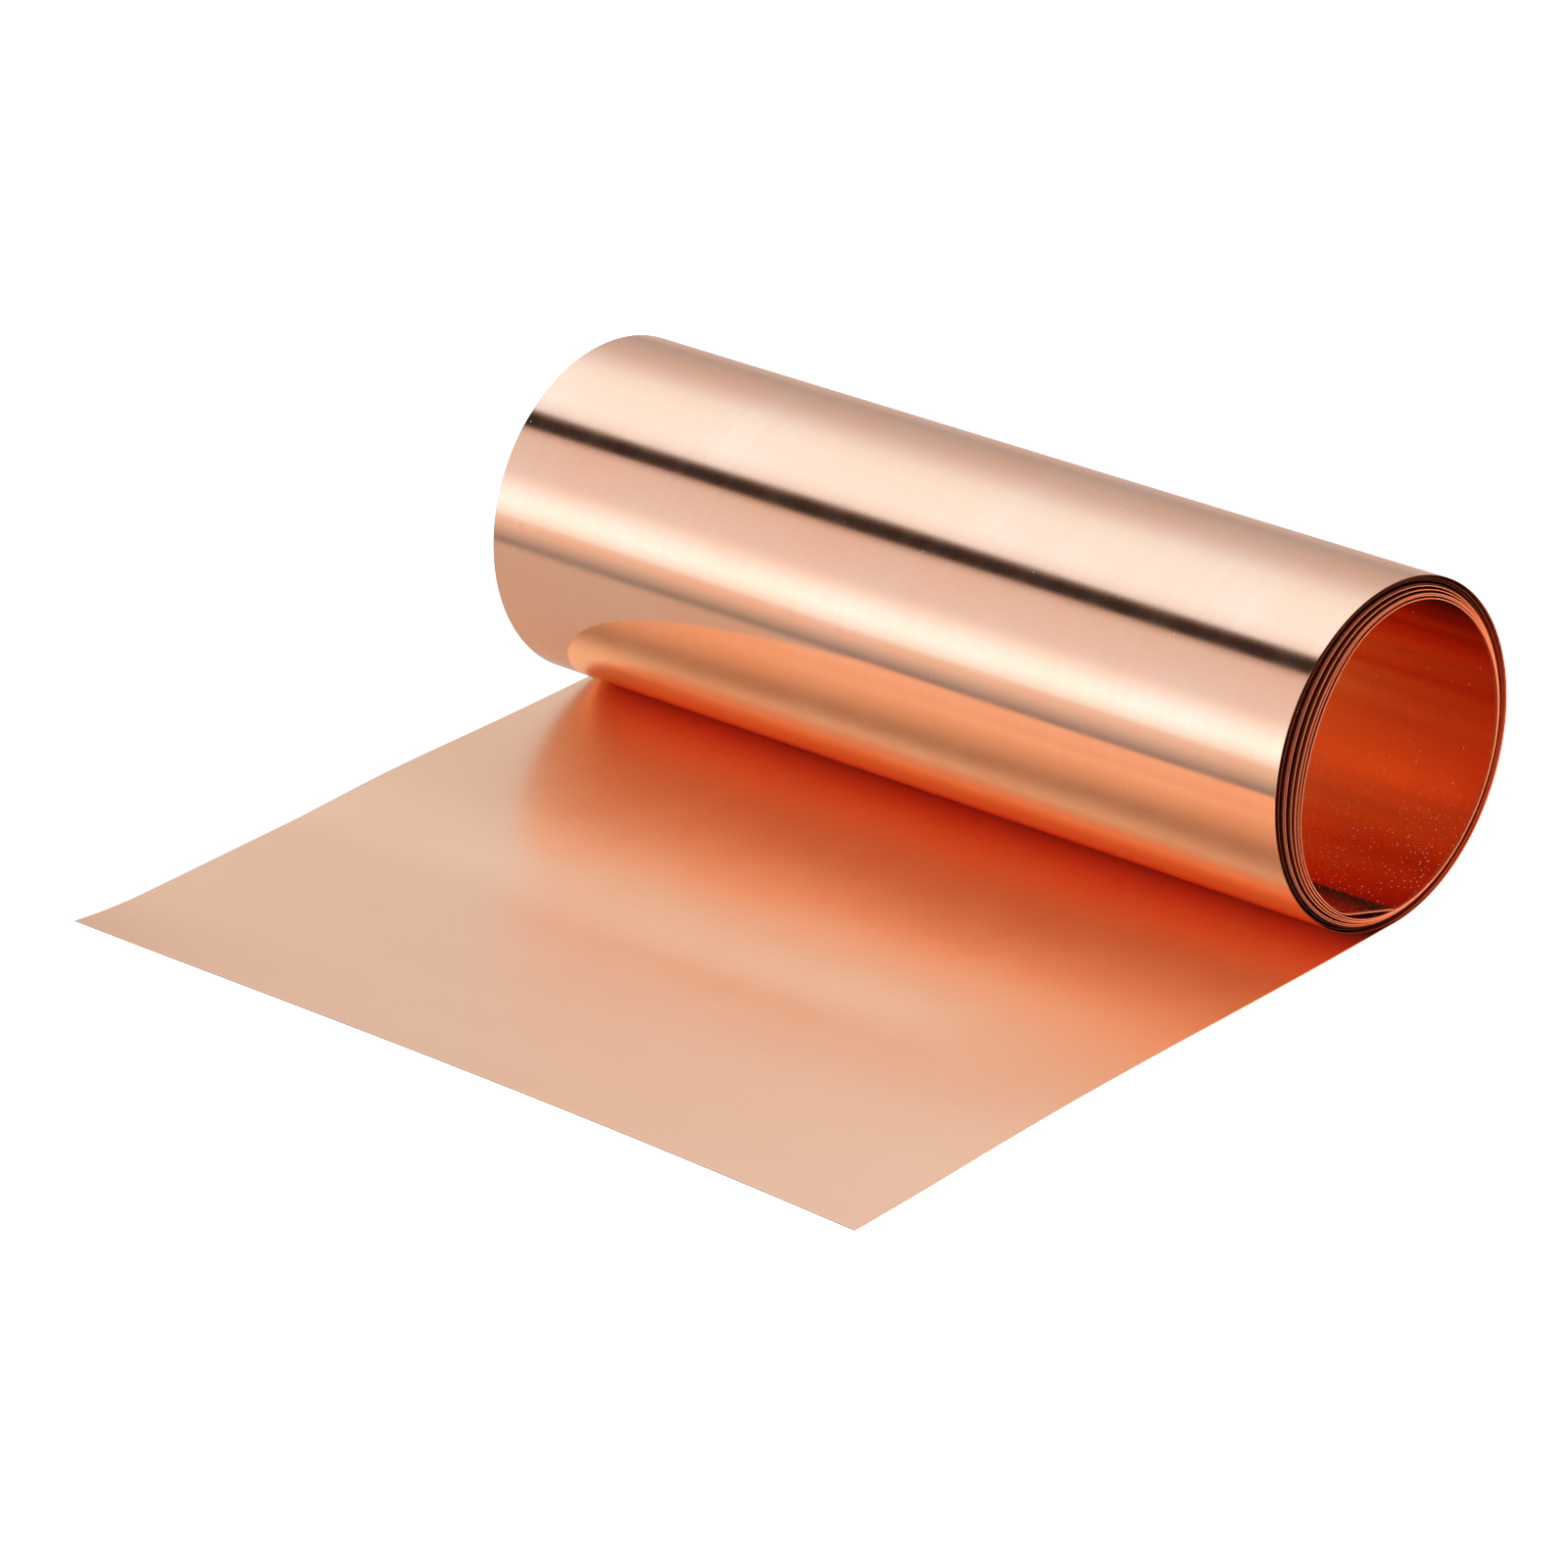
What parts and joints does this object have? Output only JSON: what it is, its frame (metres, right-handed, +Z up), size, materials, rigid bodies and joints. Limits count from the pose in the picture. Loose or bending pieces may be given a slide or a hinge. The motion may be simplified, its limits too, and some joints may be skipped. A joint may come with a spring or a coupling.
{
  "type": "copper foil roll",
  "caption": "Short roll of bare copper foil, wound on itself around an open bore, with its outer end pulled out flat as a tail.",
  "frame": {"origin": "on the table under the middle of the coil, where the strip leaves the table to climb round it", "axes": "+Z up, Y along the coil's axis and across the strip, the flat tail runs out towards -X"},
  "size_m": [0.0935, 0.1, 0.0347],
  "materials": {
    "copper_foil": "polished, with a fine lengthwise rolling grain"
  },
  "bodies": {
    "coil": {"turn_01": "copper_foil", "turn_02": "copper_foil", "turn_03": "copper_foil", "turn_04": "copper_foil", "turn_05": "copper_foil", "turn_06": "copper_foil", "turn_07": "copper_foil", "turn_08": "copper_foil", "turn_09": "copper_foil"},
    "inner_end": {"inner_end": "copper_foil"},
    "tail_01": {"tail_01": "copper_foil"},
    "tail_02": {"tail_02": "copper_foil"},
    "tail_03": {"tail_03": "copper_foil"},
    "tail_04": {"tail_04": "copper_foil"},
    "tail_05": {"tail_05": "copper_foil"},
    "tail_06": {"tail_06": "copper_foil"},
    "tail_07": {"tail_07": "copper_foil"},
    "tail_08": {"tail_08": "copper_foil"},
    "tail_09": {"tail_09": "copper_foil"},
    "tail_10": {"tail_10": "copper_foil"},
    "tail_11": {"tail_11": "copper_foil"},
    "tail_12": {"tail_12": "copper_foil"},
    "tail_13": {"tail_13": "copper_foil"},
    "tail_14": {"tail_14": "copper_foil"},
    "tail_15": {"tail_15": "copper_foil"},
    "tail_16": {"tail_16": "copper_foil"},
    "tail_17": {"tail_17": "copper_foil"},
    "tail_18": {"tail_18": "copper_foil"}
  },
  "joints": [
    {"name": "tail_bend_01", "type": "hinge", "parent": "coil", "child": "tail_01", "pos_m": [-0.00205, 0, 0.0001], "axis": [0, 1, 0], "range_deg": [0, 13.17]},
    {"name": "tail_bend_02", "type": "hinge", "parent": "tail_01", "child": "tail_02", "pos_m": [-0.00616, 0, 0.0001], "axis": [0, 1, 0], "range_deg": [0, 13.15]},
    {"name": "tail_bend_03", "type": "hinge", "parent": "tail_02", "child": "tail_03", "pos_m": [-0.01027, 0, 0.0001], "axis": [0, 1, 0], "range_deg": [0, 13.13]},
    {"name": "tail_bend_04", "type": "hinge", "parent": "tail_03", "child": "tail_04", "pos_m": [-0.01438, 0, 0.0001], "axis": [0, 1, 0], "range_deg": [0, 13.11]},
    {"name": "tail_bend_05", "type": "hinge", "parent": "tail_04", "child": "tail_05", "pos_m": [-0.01849, 0, 0.0001], "axis": [0, 1, 0], "range_deg": [0, 13.09]},
    {"name": "tail_bend_06", "type": "hinge", "parent": "tail_05", "child": "tail_06", "pos_m": [-0.02259, 0, 0.0001], "axis": [0, 1, 0], "range_deg": [0, 13.07]},
    {"name": "tail_bend_07", "type": "hinge", "parent": "tail_06", "child": "tail_07", "pos_m": [-0.0267, 0, 0.0001], "axis": [0, 1, 0], "range_deg": [0, 13.03]},
    {"name": "tail_bend_08", "type": "hinge", "parent": "tail_07", "child": "tail_08", "pos_m": [-0.03081, 0, 0.0001], "axis": [0, 1, 0], "range_deg": [0, 13.02]},
    {"name": "tail_bend_09", "type": "hinge", "parent": "tail_08", "child": "tail_09", "pos_m": [-0.03492, 0, 0.0001], "axis": [0, 1, 0], "range_deg": [0, 13]},
    {"name": "tail_bend_10", "type": "hinge", "parent": "tail_09", "child": "tail_10", "pos_m": [-0.03903, 0, 0.0001], "axis": [0, 1, 0], "range_deg": [0, 12.98]},
    {"name": "tail_bend_11", "type": "hinge", "parent": "tail_10", "child": "tail_11", "pos_m": [-0.04314, 0, 0.0001], "axis": [0, 1, 0], "range_deg": [0, 12.96]},
    {"name": "tail_bend_12", "type": "hinge", "parent": "tail_11", "child": "tail_12", "pos_m": [-0.04724, 0, 0.0001], "axis": [0, 1, 0], "range_deg": [0, 12.94]},
    {"name": "tail_bend_13", "type": "hinge", "parent": "tail_12", "child": "tail_13", "pos_m": [-0.05135, 0, 0.0001], "axis": [0, 1, 0], "range_deg": [0, 12.91]},
    {"name": "tail_bend_14", "type": "hinge", "parent": "tail_13", "child": "tail_14", "pos_m": [-0.05546, 0, 0.0001], "axis": [0, 1, 0], "range_deg": [0, 12.9]},
    {"name": "tail_bend_15", "type": "hinge", "parent": "tail_14", "child": "tail_15", "pos_m": [-0.05957, 0, 0.0001], "axis": [0, 1, 0], "range_deg": [0, 12.87]},
    {"name": "tail_bend_16", "type": "hinge", "parent": "tail_15", "child": "tail_16", "pos_m": [-0.06368, 0, 0.0001], "axis": [0, 1, 0], "range_deg": [0, 12.85]},
    {"name": "tail_bend_17", "type": "hinge", "parent": "tail_16", "child": "tail_17", "pos_m": [-0.06778, 0, 0.0001], "axis": [0, 1, 0], "range_deg": [0, 12.83]},
    {"name": "tail_bend_18", "type": "hinge", "parent": "tail_17", "child": "tail_18", "pos_m": [-0.07189, 0, 0.0001], "axis": [0, 1, 0], "range_deg": [0, 12.81]},
    {"name": "inner_end_lift", "type": "hinge", "parent": "coil", "child": "inner_end", "pos_m": [-0.00702, 0, 0.0037], "axis": [0, -1, 0], "range_deg": [0, 50], "stiffness_Nm_per_rad": 0.13}
  ],
  "couplings": [
    {"joint": "tail_bend_02", "follows": "tail_bend_01", "ratio": 0.99772},
    {"joint": "tail_bend_03", "follows": "tail_bend_01", "ratio": 0.9962},
    {"joint": "tail_bend_04", "follows": "tail_bend_01", "ratio": 0.99468},
    {"joint": "tail_bend_05", "follows": "tail_bend_01", "ratio": 0.99317},
    {"joint": "tail_bend_06", "follows": "tail_bend_01", "ratio": 0.99165},
    {"joint": "tail_bend_08", "follows": "tail_bend_07", "ratio": 0.99847},
    {"joint": "tail_bend_09", "follows": "tail_bend_07", "ratio": 0.99693},
    {"joint": "tail_bend_10", "follows": "tail_bend_07", "ratio": 0.9954},
    {"joint": "tail_bend_11", "follows": "tail_bend_07", "ratio": 0.99386},
    {"joint": "tail_bend_12", "follows": "tail_bend_07", "ratio": 0.99233},
    {"joint": "tail_bend_14", "follows": "tail_bend_13", "ratio": 0.99845},
    {"joint": "tail_bend_15", "follows": "tail_bend_13", "ratio": 0.99613},
    {"joint": "tail_bend_16", "follows": "tail_bend_13", "ratio": 0.99458},
    {"joint": "tail_bend_17", "follows": "tail_bend_13", "ratio": 0.99303},
    {"joint": "tail_bend_18", "follows": "tail_bend_13", "ratio": 0.99148}
  ]
}
